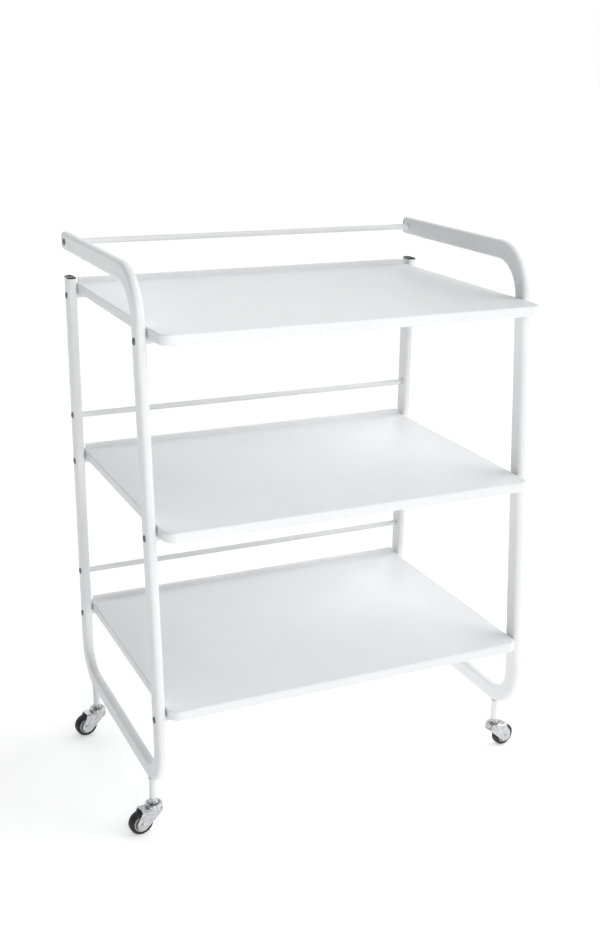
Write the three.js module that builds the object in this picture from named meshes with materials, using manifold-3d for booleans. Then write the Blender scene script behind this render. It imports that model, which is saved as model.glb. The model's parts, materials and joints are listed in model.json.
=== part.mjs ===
// Instrument cart: a three-tier trolley of white powder-coated steel on four swivel casters.
// Millimetres, +Z up, +X to the cart's right, +Y to its rear. The origin is on the floor,
// midway between the two side frames and between the shelf fronts and the rear ends of the arms.

import * as THREE from 'three';
import { mergeVertices } from 'three/addons/utils/BufferGeometryUtils.js';
import Module from 'manifold-3d';

const wasm = await Module();
wasm.setup();

// ---- Driving dimensions ----

// Clearance between pieces that touch on the real cart
const CLEAR = 0.3;

// Overall
const HEIGHT = 912; // floor to the top of the arms
const DEPTH = 472; // shelf fronts to the rear ends of the arms
const FRAME_SPACING = 647; // between the centre planes of the two side frames

// Flat-oval tube of the side frames
const TUBE_DEPTH = 30; // in the plane of the frame
const TUBE_WIDTH = 15; // across the cart
const TUBE_CORNER = 6;
const TUBE_WALL = 1.5;

// Side frame
const REAR_LEG_INSET = 18; // arm rear end to the rear leg's centre line
const FOOT_SPREAD = 434; // between the two leg centre lines at the bottom rail
const FRONT_LEAN = THREE.MathUtils.degToRad(4.2);
const ARM_BEND = 72; // centre-line radius
const FOOT_BEND = 60; // centre-line radius
const LEG_RISE = 8; // rear leg's open top above the top shelf

// Shelves
const BOTTOM_SHELF_Z = 245; // upper surface of the bottom shelf
const SHELF_PITCH = 292;
const SHELF_DEPTH = 460;
const SHELF_GAP = 2; // between a shelf and the tube beside it
const SKIRT = 16; // height of the folded skirt
const SHEET = 1.2;
const RETURN_FLANGE = 12;
const FRONT_CORNER = 18;
const REAR_CORNER = 4;
const INSIDE_CORNER = 1; // least radius of a fold's inside corner
const LIP_HEIGHT = 8;
const LIP_DEPTH = 10;
const LUG_INSET = 46; // shelf side to the middle of a lug
const LUG_THICKNESS = 3;
const LUG_WIDTH = 20;
const LUG_BELOW_ROD = 5;

// Cross rods and their screws
const ROD_RADIUS = 5;
const ROD_BORE_DEPTH = 16;
const TOP_RAIL_INSET = 20; // arm rear end to the top rail
const RAIL_ABOVE_SHELF = 62;
const SCREW_RADIUS = 2.5;
const SCREW_GRIP = 12; // shank inside the rod
const SCREW_HEAD_RADIUS = 5.5;
const SCREW_HEAD_HEIGHT = 2;
const SCREW_HEAD_RIM = 1; // height of the head's upright edge, from the tube
const SCREW_CROWN_RADIUS = 3.8; // flat top of the head

// Tube ends
const PLUG_FLANGE = 2.5;
const PLUG_INSERT = 12;
const CAP_LENGTH = 10;
const CAP_INSERT = 5;
const CAP_ROUNDING = 8;

// Casters
const WHEEL_RADIUS = 20;
const TRAIL = 23;
const TYRE_WIDTH = 16;
const TYRE_DEPTH = 5.5;
const TYRE_SHOULDER = 2.5;
const HUB_WIDTH = 17.4;
const HUB_BOSS_RADIUS = 6.5;
const HUB_WEB = 5;
const HUB_RIM = 2.5;
const HUB_RIM_SET_IN = 1; // rim edge inside the tyre's side
const AXLE_RADIUS = 3;
const AXLE_HEAD_RADIUS = 4.8;
const AXLE_HEAD_HEIGHT = 1.5;
const FORK_SHEET = 2;
const FORK_SIDE_PLAY = 0.8; // hub end to the cheek beside it
const FORK_TOP_PLAY = 2.5; // tyre to the plate above it
const CHEEK_RADIUS = 10.5;
const CROWN_FRONT = 14.5; // ahead of the swivel axis
const CROWN_REAR = 23; // behind it, over the wheel
const CHEEK_SHOULDER = 4; // cheek behind the crown plate, just under it
const RACE_RADIUS = 14.5;
const RACE_TOP_RADIUS = 12.5;
const RACE_HEIGHT = 5.3;
const RACE_SIDE = 3.5; // upright part of that height
const KINGPIN_RADIUS = 3.6;
const KINGPIN_HEAD_RADIUS = 6;
const KINGPIN_HEAD_HEIGHT = 2.2;
const HEAD_RADIUS = 9.5;
const HEAD_RIM = 1.5;
const HEAD_HEIGHT = 7.2; // swivel head above the race
const NECK_RADIUS = 7; // halfway up the head
const STUD_RADIUS = 4;
const STUD_LENGTH = 33;
const SOCKET_RADIUS = 6;
const SOCKET_SHOW = 38; // caster top to the bottom rail's underside
const SOCKET_SET_IN = 9; // socket above the bottom rail's underside
const FRONT_SOCKET_INSET = 52; // behind the front leg's foot
const REAR_SOCKET_INSET = 44; // ahead of the rear leg's foot

// How the casters stand at rest: the direction each wheel trails, in degrees from +X
const CASTER_HEADINGS = { front_left: 187, front_right: 8, rear_left: 187, rear_right: 353 };

// Facets
const TUBE_CURVE_SEGMENTS = 2;
const BEND_STEPS = 8;
const CORNER_SEGMENTS = 4;
const CHEEK_SEGMENTS = 8;
const SCREW_SEGMENTS = 8;
const ROD_SEGMENTS = 10;
const AXLE_SEGMENTS = 8;
const HUB_SEGMENTS = 12;
const SOCKET_SEGMENTS = 12;
const RACE_SEGMENTS = 16;
const TYRE_SEGMENTS = 24;

// How far a cutter runs past what it cuts
const THROUGH = 20;

// ---- Values that follow ----

const CROWN_Z = 2 * WHEEL_RADIUS + FORK_TOP_PLAY; // underside of the fork's plate
const RACE_TOP_Z = CROWN_Z + FORK_SHEET + RACE_HEIGHT;
const CASTER_HEIGHT = RACE_TOP_Z + HEAD_HEIGHT; // floor to the socket that it hangs from
const ARM_Z = HEIGHT - TUBE_DEPTH / 2;
const RAIL_UNDERSIDE_Z = CASTER_HEIGHT + SOCKET_SHOW;
const RAIL_Z = RAIL_UNDERSIDE_Z + TUBE_DEPTH / 2;
const ARM_REAR_Y = DEPTH / 2;
const REAR_LEG_Y = ARM_REAR_Y - REAR_LEG_INSET;
const FRONT_FOOT_Y = REAR_LEG_Y - FOOT_SPREAD;
const FRAME_X = FRAME_SPACING / 2;
const INNER_FACE_X = FRAME_X - TUBE_WIDTH / 2;
const SHELF_HEIGHTS = {
  bottom: BOTTOM_SHELF_Z,
  middle: BOTTOM_SHELF_Z + SHELF_PITCH,
  top: BOTTOM_SHELF_Z + 2 * SHELF_PITCH,
};
const LEG_TOP_Z = SHELF_HEIGHTS.top + LEG_RISE;
const SHELF_ROD_DROP = SKIRT + CLEAR + ROD_RADIUS;
const SHELF_FRONT_Y = -DEPTH / 2;
const SHELF_WIDTH = 2 * (INNER_FACE_X - SHELF_GAP);
const HUB_RADIUS = WHEEL_RADIUS - TYRE_DEPTH - CLEAR;
const CHEEK_INSIDE = HUB_WIDTH / 2 + FORK_SIDE_PLAY;
const CHEEK_OUTSIDE = CHEEK_INSIDE + FORK_SHEET;

// ---- Materials ----

function finish(color, roughness, metalness) {
  return new THREE.MeshStandardMaterial({ color, roughness, metalness });
}

const MATERIALS = {
  coatedSteel: finish(0xf2f3f4, 0.4, 0),
  whitePlastic: finish(0xf0f1f2, 0.45, 0),
  blackPlastic: finish(0x141416, 0.5, 0),
  darkScrew: finish(0x3a3a3e, 0.4, 0.8),
  zinc: finish(0xb9bcbf, 0.3, 0.9),
  greyPlastic: finish(0x8d9296, 0.5, 0),
  rubber: finish(0x1c1c1e, 0.7, 0),
};

// ---- Solid helpers ----

function indexedGeometry(positions, index) {
  const geometry = new THREE.BufferGeometry();
  geometry.setAttribute('position', new THREE.BufferAttribute(positions, 3));
  geometry.setIndex(index);
  return geometry;
}

// Shares the vertices of a closed geometry and drops the slivers that a lathe leaves on its axis.
function closed(geometry) {
  geometry.deleteAttribute('normal');
  geometry.deleteAttribute('uv');
  const merged = mergeVertices(geometry, 1e-4);
  const kept = [];
  const index = merged.index.array;
  for (let i = 0; i < index.length; i += 3) {
    const [a, b, c] = index.slice(i, i + 3);
    if (a !== b && b !== c && c !== a) {
      kept.push(a, b, c);
    }
  }
  return indexedGeometry(Float32Array.from(merged.attributes.position.array), kept);
}

function solid(geometry) {
  const shared = closed(geometry);
  return new wasm.Manifold(
    new wasm.Mesh({
      numProp: 3,
      vertProperties: shared.attributes.position.array,
      triVerts: Uint32Array.from(shared.index.array),
    }),
  );
}

function geometryOf(manifold) {
  const mesh = manifold.getMesh();
  return indexedGeometry(Float32Array.from(mesh.vertProperties), Array.from(mesh.triVerts));
}

const joined = (solids) => solids.reduce((whole, next) => whole.add(next));
const cutBy = (whole, cutters) => cutters.reduce((rest, cutter) => rest.subtract(cutter), whole);

function box(x0, x1, y0, y1, z0, z1) {
  const geometry = new THREE.BoxGeometry(x1 - x0, y1 - y0, z1 - z0);
  return geometry.translate((x0 + x1) / 2, (y0 + y1) / 2, (z0 + z1) / 2);
}

// A turned solid about +Z from [radius, z] points given from the bottom up
function turned(profile, segments) {
  const points = profile.map(([radius, z]) => new THREE.Vector2(radius, z));
  return new THREE.LatheGeometry(points, segments).rotateX(Math.PI / 2);
}

// The radius to the corners of a polygon whose flats stay outside the named radius
const roundRadius = (radius, segments) => radius / Math.cos(Math.PI / segments);

// A cutter for a round hole, along Y about the origin
function holeCutter(radius, length, segments) {
  const corners = roundRadius(radius, segments);
  return new THREE.CylinderGeometry(corners, corners, length, segments);
}

function holeAlongX(radius, x0, x1, y, z, segments) {
  const geometry = holeCutter(radius, x1 - x0, segments);
  return geometry.rotateZ(Math.PI / 2).translate((x0 + x1) / 2, y, z);
}

function roundedRectangle(path, x0, x1, y0, y1, lowRadius, highRadius) {
  path.moveTo(x0 + lowRadius, y0);
  path.lineTo(x1 - lowRadius, y0);
  path.absarc(x1 - lowRadius, y0 + lowRadius, lowRadius, -Math.PI / 2, 0, false);
  path.lineTo(x1, y1 - highRadius);
  path.absarc(x1 - highRadius, y1 - highRadius, highRadius, 0, Math.PI / 2, false);
  path.lineTo(x0 + highRadius, y1);
  path.absarc(x0 + highRadius, y1 - highRadius, highRadius, Math.PI / 2, Math.PI, false);
  path.lineTo(x0, y0 + lowRadius);
  path.absarc(x0 + lowRadius, y0 + lowRadius, lowRadius, Math.PI, 1.5 * Math.PI, false);
  return path;
}

const cart = new THREE.Group();

function addMesh(parent, name, geometry, material) {
  const mesh = new THREE.Mesh(geometry, material);
  mesh.name = name;
  parent.add(mesh);
  return mesh;
}

// ---- Side frames ----

// The tube's section inset by a distance
function tubeSection(path, inset, sizeX, sizeY) {
  const x = sizeX / 2 - inset;
  const y = sizeY / 2 - inset;
  return roundedRectangle(path, -x, x, -y, y, TUBE_CORNER - inset, TUBE_CORNER - inset);
}

// A polyline with rounded corners, with stations only at its ends and round its bends
class BentPath extends THREE.Curve {
  constructor(corners, radii) {
    super();
    this.stations = [];
    const last = corners.length - 1;
    this.addEnd(corners[0], corners[0], corners[1]);
    for (let i = 1; i < last; i++) {
      this.addBend(corners[i - 1], corners[i], corners[i + 1], radii[i - 1]);
    }
    this.addEnd(corners[last], corners[last - 1], corners[last]);
    this.steps = this.stations.length - 1;
  }

  addEnd(point, from, to) {
    this.stations.push({ point, tangent: to.clone().sub(from).normalize() });
  }

  addBend(before, corner, after, radius) {
    const into = corner.clone().sub(before).normalize();
    const out = after.clone().sub(corner).normalize();
    const turn = into.angleTo(out);
    const axis = into.clone().cross(out).normalize();
    const start = corner.clone().addScaledVector(into, -radius * Math.tan(turn / 2));
    const centre = start.addScaledVector(axis.clone().cross(into), radius);
    for (let step = 0; step <= BEND_STEPS; step++) {
      const tangent = into.clone().applyAxisAngle(axis, (turn * step) / BEND_STEPS);
      const point = centre.clone().addScaledVector(axis.clone().cross(tangent), -radius);
      this.stations.push({ point, tangent });
    }
  }

  getPointAt(u, target = new THREE.Vector3()) {
    return target.copy(this.stations[Math.round(u * this.steps)].point);
  }

  getTangentAt(u, target = new THREE.Vector3()) {
    return target.copy(this.stations[Math.round(u * this.steps)].tangent);
  }
}

const frontLegY = (z) => FRONT_FOOT_Y + (z - RAIL_Z) * Math.tan(FRONT_LEAN);
const inFrame = (y, z) => new THREE.Vector3(0, y, z);

function bentTube() {
  const corners = [
    inFrame(ARM_REAR_Y - CAP_LENGTH, ARM_Z),
    inFrame(frontLegY(ARM_Z), ARM_Z),
    inFrame(FRONT_FOOT_Y, RAIL_Z),
    inFrame(REAR_LEG_Y, RAIL_Z),
    inFrame(REAR_LEG_Y, LEG_TOP_Z),
  ];
  const path = new BentPath(corners, [ARM_BEND, FOOT_BEND, FOOT_BEND]);
  // A swept section's first axis lies in the plane of its path.
  const section = tubeSection(new THREE.Shape(), 0, TUBE_DEPTH, TUBE_WIDTH);
  section.holes.push(tubeSection(new THREE.Path(), TUBE_WALL, TUBE_DEPTH, TUBE_WIDTH));
  return new THREE.ExtrudeGeometry(section, {
    extrudePath: path,
    steps: path.steps,
    curveSegments: TUBE_CURVE_SEGMENTS,
  });
}

// Every cross rod: its name and where its axis crosses the side frames
const SHELF_RODS = Object.entries(SHELF_HEIGHTS).flatMap(([tier, shelfZ]) => {
  const z = shelfZ - SHELF_ROD_DROP;
  return [
    { name: `${tier}_shelf_front_rod`, y: frontLegY(z), z, tier },
    { name: `${tier}_shelf_rear_rod`, y: REAR_LEG_Y, z, tier },
  ];
});
const RAIL_RODS = [
  { name: 'top_rail_rod', y: ARM_REAR_Y - TOP_RAIL_INSET, z: ARM_Z },
  { name: 'middle_rail_rod', y: REAR_LEG_Y, z: SHELF_HEIGHTS.middle + RAIL_ABOVE_SHELF },
  { name: 'lower_rail_rod', y: REAR_LEG_Y, z: SHELF_HEIGHTS.bottom + RAIL_ABOVE_SHELF },
];
const RODS = [...RAIL_RODS, ...SHELF_RODS];

const SOCKETS_Y = {
  front: FRONT_FOOT_Y + FRONT_SOCKET_INSET,
  rear: REAR_LEG_Y - REAR_SOCKET_INSET,
};

function socketNotch(y) {
  const top = RAIL_UNDERSIDE_Z + SOCKET_SET_IN + CLEAR;
  const geometry = holeCutter(SOCKET_RADIUS + CLEAR, top, SOCKET_SEGMENTS);
  return geometry.rotateX(Math.PI / 2).translate(0, y, top / 2);
}

function sideFrameGeometry() {
  const screwHoles = RODS.map(({ y, z }) =>
    holeAlongX(SCREW_RADIUS + CLEAR, -TUBE_WIDTH, TUBE_WIDTH, y, z, SCREW_SEGMENTS),
  );
  const notches = Object.values(SOCKETS_Y).map(socketNotch);
  return geometryOf(cutBy(solid(bentTube()), [...screwHoles, ...notches].map(solid)));
}

// ---- Plugs and caps in the tube ends ----

// A piece of the tube's section along +Z, from its seat at z = 0
function sectionPiece(inset, z0, z1) {
  const shape = tubeSection(new THREE.Shape(), inset, TUBE_WIDTH, TUBE_DEPTH);
  const geometry = new THREE.ExtrudeGeometry(shape, {
    depth: z1 - z0,
    bevelEnabled: false,
    curveSegments: TUBE_CURVE_SEGMENTS,
  });
  return geometry.translate(0, 0, z0);
}

function tubeStopper(flange, insert) {
  const overlap = flange / 2;
  const outside = solid(sectionPiece(0, CLEAR, flange));
  const inside = solid(sectionPiece(TUBE_WALL + CLEAR, -insert, overlap));
  return outside.add(inside);
}

// Rounds the far end of a stopper in the plane of the frame
function endRounding() {
  const shape = new THREE.Shape();
  const half = TUBE_DEPTH / 2;
  roundedRectangle(shape, -half, half, -2 * CAP_INSERT, CAP_LENGTH, CAP_INSERT, CAP_ROUNDING);
  const options = { depth: 2 * TUBE_WIDTH, bevelEnabled: false, curveSegments: CORNER_SEGMENTS };
  const across = new THREE.ExtrudeGeometry(shape, options).translate(0, 0, -TUBE_WIDTH);
  return across.rotateX(Math.PI / 2).rotateZ(Math.PI / 2);
}

function armCapGeometry() {
  return geometryOf(tubeStopper(CAP_LENGTH, CAP_INSERT).intersect(solid(endRounding())));
}

// ---- Shelves ----

// The shelf's outline inset by a distance, with +Y to the rear
function shelfOutline(inset) {
  const x = SHELF_WIDTH / 2 - inset;
  const front = SHELF_FRONT_Y + inset;
  const rear = SHELF_FRONT_Y + SHELF_DEPTH - inset;
  const frontRadius = Math.max(FRONT_CORNER - inset, INSIDE_CORNER);
  const rearRadius = Math.max(REAR_CORNER - inset, INSIDE_CORNER);
  return roundedRectangle(new THREE.Shape(), -x, x, front, rear, frontRadius, rearRadius);
}

function shelfSlab(inset, z0, z1) {
  const options = { depth: z1 - z0, bevelEnabled: false, curveSegments: CORNER_SEGMENTS };
  return new THREE.ExtrudeGeometry(shelfOutline(inset), options).translate(0, 0, z0);
}

// The raised lip along the rear edge, from its base in the skirt to a height above the shelf
function lipBlock(inset, z0, z1) {
  const x = SHELF_WIDTH / 2 - REAR_CORNER - inset;
  const rear = SHELF_FRONT_Y + SHELF_DEPTH;
  return box(-x, x, rear - LIP_DEPTH + inset, rear - inset, z0, z1);
}

function shelfLug(side, y) {
  const x = side * (SHELF_WIDTH / 2 - LUG_INSET);
  const rearLimit = SHELF_FRONT_Y + SHELF_DEPTH - SHEET;
  const rear = Math.min(y + LUG_WIDTH / 2, rearLimit);
  const low = -SHELF_ROD_DROP - ROD_RADIUS - LUG_BELOW_ROD;
  return box(x - LUG_THICKNESS / 2, x + LUG_THICKNESS / 2, y - LUG_WIDTH / 2, rear, low, -SHEET / 2);
}

// A tray folded from sheet, open below, with its upper surface at z = 0
function shelfGeometry(rods) {
  const shell = solid(shelfSlab(0, -SKIRT, 0)).add(solid(lipBlock(0, -SKIRT / 2, LIP_HEIGHT)));
  const hollows = [
    shelfSlab(SHEET, -SKIRT + SHEET, -SHEET),
    shelfSlab(RETURN_FLANGE, -SKIRT - THROUGH, -SKIRT + 2 * SHEET),
    lipBlock(SHEET, -SKIRT + SHEET, LIP_HEIGHT - SHEET),
  ];
  const folded = cutBy(shell, hollows.map(solid));
  const lugs = rods.flatMap(({ y }) => [shelfLug(-1, y), shelfLug(1, y)]);
  const rodHoles = rods.map(({ y }) =>
    holeAlongX(ROD_RADIUS + CLEAR, -INNER_FACE_X, INNER_FACE_X, y, -SHELF_ROD_DROP, ROD_SEGMENTS),
  );
  return geometryOf(cutBy(joined([folded, ...lugs.map(solid)]), rodHoles.map(solid)));
}

// ---- Cross rods and screws ----

function rodGeometry() {
  const half = INNER_FACE_X - CLEAR;
  const rod = new THREE.CylinderGeometry(ROD_RADIUS, ROD_RADIUS, 2 * half, ROD_SEGMENTS);
  const bores = [-half, half].map((end) =>
    holeAlongX(SCREW_RADIUS + CLEAR, end - ROD_BORE_DEPTH, end + ROD_BORE_DEPTH, 0, 0, SCREW_SEGMENTS),
  );
  return geometryOf(cutBy(solid(rod.rotateZ(Math.PI / 2)), bores.map(solid)));
}

// A button-head screw along +X: its head bears on the tube's outer face at x = 0
function screwGeometry() {
  const tip = -(TUBE_WIDTH + CLEAR + SCREW_GRIP);
  const profile = [
    [0, tip],
    [SCREW_RADIUS, tip],
    [SCREW_RADIUS, CLEAR],
    [SCREW_HEAD_RADIUS, CLEAR],
    [SCREW_HEAD_RADIUS, SCREW_HEAD_RIM],
    [SCREW_CROWN_RADIUS, SCREW_HEAD_HEIGHT],
    [0, SCREW_HEAD_HEIGHT],
  ];
  return closed(turned(profile, SCREW_SEGMENTS).rotateY(Math.PI / 2));
}

// ---- Casters ----

// In a caster's own frame the swivel axis is +Z at the origin, the wheel trails along +X
// and the axle lies along Y.

function socketGeometry() {
  const bottom = CASTER_HEIGHT;
  const top = RAIL_UNDERSIDE_Z + SOCKET_SET_IN;
  const bore = STUD_RADIUS + CLEAR;
  const ring = [
    [bore, bottom],
    [SOCKET_RADIUS, bottom],
    [SOCKET_RADIUS, top],
    [bore, top],
    [bore, bottom],
  ];
  return closed(turned(ring, SOCKET_SEGMENTS));
}

// Kingpin, dished cap and stud, which stay still while the fork swivels
function swivelHeadGeometry() {
  const rivetTop = CROWN_Z - CLEAR;
  const capBottom = RACE_TOP_Z + CLEAR;
  const seat = CASTER_HEIGHT - CLEAR;
  const profile = [
    [0, rivetTop - KINGPIN_HEAD_HEIGHT],
    [KINGPIN_HEAD_RADIUS, rivetTop - KINGPIN_HEAD_HEIGHT],
    [KINGPIN_HEAD_RADIUS, rivetTop],
    [KINGPIN_RADIUS, rivetTop],
    [KINGPIN_RADIUS, capBottom],
    [HEAD_RADIUS, capBottom],
    [HEAD_RADIUS, capBottom + HEAD_RIM],
    [NECK_RADIUS, CASTER_HEIGHT - HEAD_HEIGHT / 2],
    [SOCKET_RADIUS, seat],
    [STUD_RADIUS, seat],
    [STUD_RADIUS, CASTER_HEIGHT + STUD_LENGTH],
    [0, CASTER_HEIGHT + STUD_LENGTH],
  ];
  return closed(turned(profile, SOCKET_SEGMENTS));
}

const CHEEK_ARC_START = 1.25 * Math.PI; // where the cheek's front edge meets its round end

// A fork cheek's outline: a round end about the axle, narrowing down from the crown plate
function cheekShape() {
  const top = CROWN_Z + FORK_SHEET;
  const shape = new THREE.Shape();
  shape.moveTo(-CROWN_FRONT, top);
  shape.lineTo(-CROWN_FRONT, CROWN_Z - FORK_SHEET);
  shape.absarc(TRAIL, WHEEL_RADIUS, CHEEK_RADIUS, CHEEK_ARC_START, 2 * Math.PI, false);
  shape.lineTo(CROWN_REAR + CHEEK_SHOULDER, CROWN_Z);
  shape.lineTo(CROWN_REAR, top);
  return shape;
}

function forkCheek(y0) {
  const options = { depth: FORK_SHEET, bevelEnabled: false, curveSegments: CHEEK_SEGMENTS };
  const plate = new THREE.ExtrudeGeometry(cheekShape(), options);
  return plate.rotateX(Math.PI / 2).translate(0, y0 + FORK_SHEET, 0);
}

// The ball race's domed housing, pressed up out of the crown plate
function raceGeometry() {
  const base = CROWN_Z + FORK_SHEET / 2;
  const profile = [
    [0, base],
    [RACE_RADIUS, base],
    [RACE_RADIUS, CROWN_Z + FORK_SHEET + RACE_SIDE],
    [RACE_TOP_RADIUS, RACE_TOP_Z],
    [0, RACE_TOP_Z],
  ];
  return turned(profile, RACE_SEGMENTS);
}

function forkGeometry() {
  const plate = box(-CROWN_FRONT, CROWN_REAR, -CHEEK_OUTSIDE, CHEEK_OUTSIDE, CROWN_Z, CROWN_Z + FORK_SHEET);
  const pieces = [plate, raceGeometry(), forkCheek(CHEEK_INSIDE), forkCheek(-CHEEK_OUTSIDE)];
  const pinHole = holeCutter(KINGPIN_RADIUS + CLEAR, 2 * (RACE_TOP_Z + THROUGH), SOCKET_SEGMENTS);
  const axleHole = holeCutter(AXLE_RADIUS + CLEAR, 2 * (CHEEK_OUTSIDE + THROUGH), AXLE_SEGMENTS);
  const holes = [pinHole.rotateX(Math.PI / 2), axleHole.translate(TRAIL, 0, WHEEL_RADIUS)];
  return geometryOf(cutBy(joined(pieces.map(solid)), holes.map(solid)));
}

// Turned pieces on the axle are drawn about +Z and then laid along Y at the wheel's centre.
function onAxle(geometry) {
  return geometry.rotateX(-Math.PI / 2).translate(TRAIL, 0, WHEEL_RADIUS);
}

function axleGeometry() {
  const seat = CHEEK_OUTSIDE + CLEAR;
  const end = seat + AXLE_HEAD_HEIGHT;
  const profile = [
    [0, -end],
    [AXLE_HEAD_RADIUS, -end],
    [AXLE_HEAD_RADIUS, -seat],
    [AXLE_RADIUS, -seat],
    [AXLE_RADIUS, seat],
    [AXLE_HEAD_RADIUS, seat],
    [AXLE_HEAD_RADIUS, end],
    [0, end],
  ];
  return closed(onAxle(turned(profile, AXLE_SEGMENTS)));
}

function hubGeometry() {
  const bore = roundRadius(AXLE_RADIUS + CLEAR, HUB_SEGMENTS);
  const boss = HUB_WIDTH / 2;
  const rim = TYRE_WIDTH / 2 - HUB_RIM_SET_IN;
  const web = HUB_WEB / 2;
  const rimInside = HUB_RADIUS - HUB_RIM;
  const ring = [
    [bore, -boss],
    [HUB_BOSS_RADIUS, -boss],
    [HUB_BOSS_RADIUS, -web],
    [rimInside, -web],
    [rimInside, -rim],
    [HUB_RADIUS, -rim],
    [HUB_RADIUS, rim],
    [rimInside, rim],
    [rimInside, web],
    [HUB_BOSS_RADIUS, web],
    [HUB_BOSS_RADIUS, boss],
    [bore, boss],
    [bore, -boss],
  ];
  return closed(onAxle(turned(ring, HUB_SEGMENTS)));
}

function tyreGeometry() {
  const seat = roundRadius(HUB_RADIUS + CLEAR, TYRE_SEGMENTS);
  const side = TYRE_WIDTH / 2;
  const tread = side - TYRE_SHOULDER;
  const shoulder = WHEEL_RADIUS - TYRE_SHOULDER;
  const ring = [
    [seat, -side],
    [shoulder, -side],
    [WHEEL_RADIUS, -tread],
    [WHEEL_RADIUS, tread],
    [shoulder, side],
    [seat, side],
    [seat, -side],
  ];
  return closed(onAxle(turned(ring, TYRE_SEGMENTS)));
}

// ---- Assembly ----

function addSide(side, x, shared) {
  const outward = Math.sign(x);
  addMesh(cart, `${side}_side_frame`, shared.frame, MATERIALS.coatedSteel).position.x = x;
  const plug = addMesh(cart, `${side}_leg_plug`, shared.plug, MATERIALS.blackPlastic);
  plug.position.set(x, REAR_LEG_Y, LEG_TOP_Z);
  const cap = addMesh(cart, `${side}_arm_cap`, shared.cap, MATERIALS.whitePlastic);
  cap.position.set(x, ARM_REAR_Y - CAP_LENGTH, ARM_Z);
  cap.rotation.x = -Math.PI / 2;
  for (const { name, y, z } of RODS) {
    const screwName = `${side}_${name.replace('_rod', '_screw')}`;
    const screw = addMesh(cart, screwName, shared.screw, MATERIALS.darkScrew);
    screw.position.set(x + (outward * TUBE_WIDTH) / 2, y, z);
    screw.rotation.z = outward > 0 ? 0 : Math.PI;
  }
}

function addShelves() {
  for (const [tier, z] of Object.entries(SHELF_HEIGHTS)) {
    const rods = SHELF_RODS.filter((rod) => rod.tier === tier);
    addMesh(cart, `${tier}_shelf`, shelfGeometry(rods), MATERIALS.coatedSteel).position.z = z;
  }
}

function addRods() {
  const geometry = rodGeometry();
  for (const { name, y, z } of RODS) {
    addMesh(cart, name, geometry, MATERIALS.coatedSteel).position.set(0, y, z);
  }
}

function addCaster(corner, x, y, shared) {
  const still = new THREE.Group();
  still.position.set(x, y, 0);
  const swivelling = new THREE.Group();
  swivelling.rotation.z = THREE.MathUtils.degToRad(CASTER_HEADINGS[corner]);
  still.add(swivelling);
  cart.add(still);
  addMesh(still, `${corner}_socket_tube`, shared.socket, MATERIALS.coatedSteel);
  addMesh(still, `${corner}_swivel_head`, shared.head, MATERIALS.zinc);
  addMesh(swivelling, `${corner}_fork`, shared.fork, MATERIALS.zinc);
  addMesh(swivelling, `${corner}_axle`, shared.axle, MATERIALS.zinc);
  addMesh(swivelling, `${corner}_wheel_hub`, shared.hub, MATERIALS.greyPlastic);
  addMesh(swivelling, `${corner}_tyre`, shared.tyre, MATERIALS.rubber);
}

const sideShapes = {
  frame: sideFrameGeometry(),
  plug: geometryOf(tubeStopper(PLUG_FLANGE, PLUG_INSERT)),
  cap: armCapGeometry(),
  screw: screwGeometry(),
};
const casterShapes = {
  socket: socketGeometry(),
  head: swivelHeadGeometry(),
  fork: forkGeometry(),
  axle: axleGeometry(),
  hub: hubGeometry(),
  tyre: tyreGeometry(),
};

for (const [side, x] of Object.entries({ left: -FRAME_X, right: FRAME_X })) {
  addSide(side, x, sideShapes);
  for (const [end, y] of Object.entries(SOCKETS_Y)) {
    addCaster(`${end}_${side}`, x, y, casterShapes);
  }
}
addShelves();
addRods();

export default cart;
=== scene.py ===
# The looks of a white three-tier instrument cart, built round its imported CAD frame.
# Everything is in metres in the frame's axes: +X to the cart's right, +Y to its rear, +Z up.
# A profile is a list of (radius or place, height, rounding of that corner).

import json
import math

import bmesh
import bpy
from mathutils import Matrix, Vector


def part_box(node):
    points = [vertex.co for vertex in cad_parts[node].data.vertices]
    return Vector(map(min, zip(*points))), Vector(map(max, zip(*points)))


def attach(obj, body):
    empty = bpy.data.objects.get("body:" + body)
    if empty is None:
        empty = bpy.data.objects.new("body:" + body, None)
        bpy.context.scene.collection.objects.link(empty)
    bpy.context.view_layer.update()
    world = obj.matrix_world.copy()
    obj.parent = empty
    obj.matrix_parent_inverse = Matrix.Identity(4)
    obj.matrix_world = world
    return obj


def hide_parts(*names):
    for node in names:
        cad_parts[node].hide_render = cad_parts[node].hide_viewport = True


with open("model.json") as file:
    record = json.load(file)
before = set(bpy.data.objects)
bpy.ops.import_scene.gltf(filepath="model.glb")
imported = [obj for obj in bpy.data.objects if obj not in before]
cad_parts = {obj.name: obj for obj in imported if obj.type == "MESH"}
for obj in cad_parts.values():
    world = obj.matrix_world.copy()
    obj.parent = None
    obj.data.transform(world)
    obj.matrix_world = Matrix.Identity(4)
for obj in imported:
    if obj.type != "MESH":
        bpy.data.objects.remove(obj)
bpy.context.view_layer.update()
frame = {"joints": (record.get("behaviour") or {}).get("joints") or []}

MM = 0.001

# ---- Sizes that the frame's boxes don't give ----

# Hairs between faces that would otherwise lie in one plane
SEAT = 0.1 * MM  # between a head, flange or rim and what it bears on
SLIP = 0.2 * MM  # between a tube's bore and what is pushed into it
PROUD = 0.05 * MM  # keeps the lip's rear face off the tray's
LIP_LIFT = 0.02 * MM  # keeps the lip's foot off the tray's upper face
SAME_POINT = 1e-7  # closer than this, two points are one

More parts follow.
